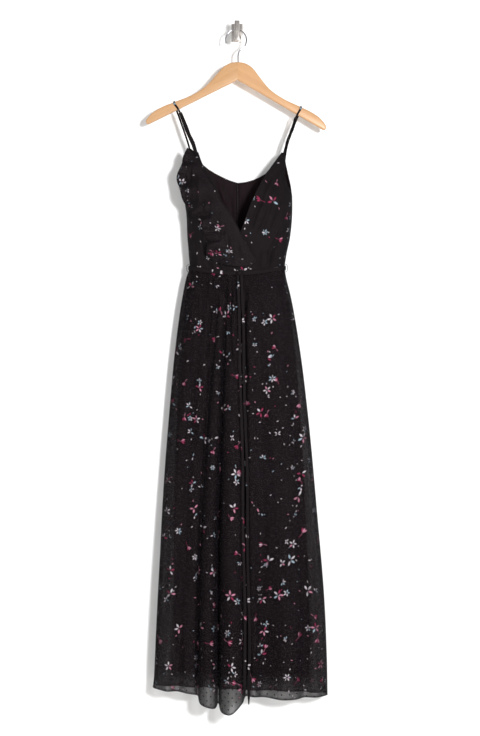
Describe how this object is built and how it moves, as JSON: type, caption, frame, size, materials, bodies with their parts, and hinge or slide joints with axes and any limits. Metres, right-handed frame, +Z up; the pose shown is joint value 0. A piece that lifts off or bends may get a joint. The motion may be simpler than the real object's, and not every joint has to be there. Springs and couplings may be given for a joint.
{
  "type": "maxi dress on a hanger with a wall hook",
  "caption": "Sleeveless wrap-front maxi dress with thin straps, a ruffled neck edge and a tied belt, on a wooden hanger that hangs from a wall hook.",
  "frame": {"origin": "centre of the wall plate's back face, on the wall", "axes": "+Y into the wall, +Z up, +X to the right of someone who looks at the dress"},
  "size_m": [0.4363, 0.1176, 1.6526],
  "materials": {
    "chiffon": "sheer woven cloth, black, with a small printed flower pattern",
    "lining": "plain woven lining, brownish black",
    "lacquered_wood": "clear satin lacquer on pale wood",
    "polished_wire": "polished",
    "brushed_nickel": "brushed nickel plate",
    "black_enamel": "black enamel"
  },
  "bodies": {
    "dress_on_hanger": {"strap_narrow_left": "chiffon", "strap_wide_left": "chiffon", "strap_narrow_right": "chiffon", "strap_wide_right": "chiffon", "bodice_front_over": "chiffon", "bodice_front_under": "chiffon", "bodice_back_left": "chiffon", "bodice_back_right": "chiffon", "ruffle": "chiffon", "skirt_front": "chiffon", "skirt_back_left": "chiffon", "skirt_back_right": "chiffon", "belt": "chiffon", "belt_knot": "chiffon", "belt_tie_left": "chiffon", "belt_tie_right": "chiffon", "belt_loop_left": "chiffon", "belt_loop_right": "chiffon", "bodice_lining_left": "lining", "bodice_lining_right": "lining", "skirt_lining_front": "lining", "skirt_lining_back": "lining", "hanger_wood": "lacquered_wood", "hanger_hook": "polished_wire", "wall_plate": "brushed_nickel", "wall_hook_arm": "brushed_nickel", "zip_coil": "black_enamel", "zip_slider": "black_enamel"},
    "zip_pull_tab": {"zip_pull": "black_enamel"}
  },
  "joints": [
    {"name": "zip_pull_hinge", "type": "hinge", "parent": "dress_on_hanger", "child": "zip_pull_tab", "pos_m": [0.0012, -0.01005, -0.378], "axis": [1, 0, 0], "range_deg": [0, 35]}
  ]
}
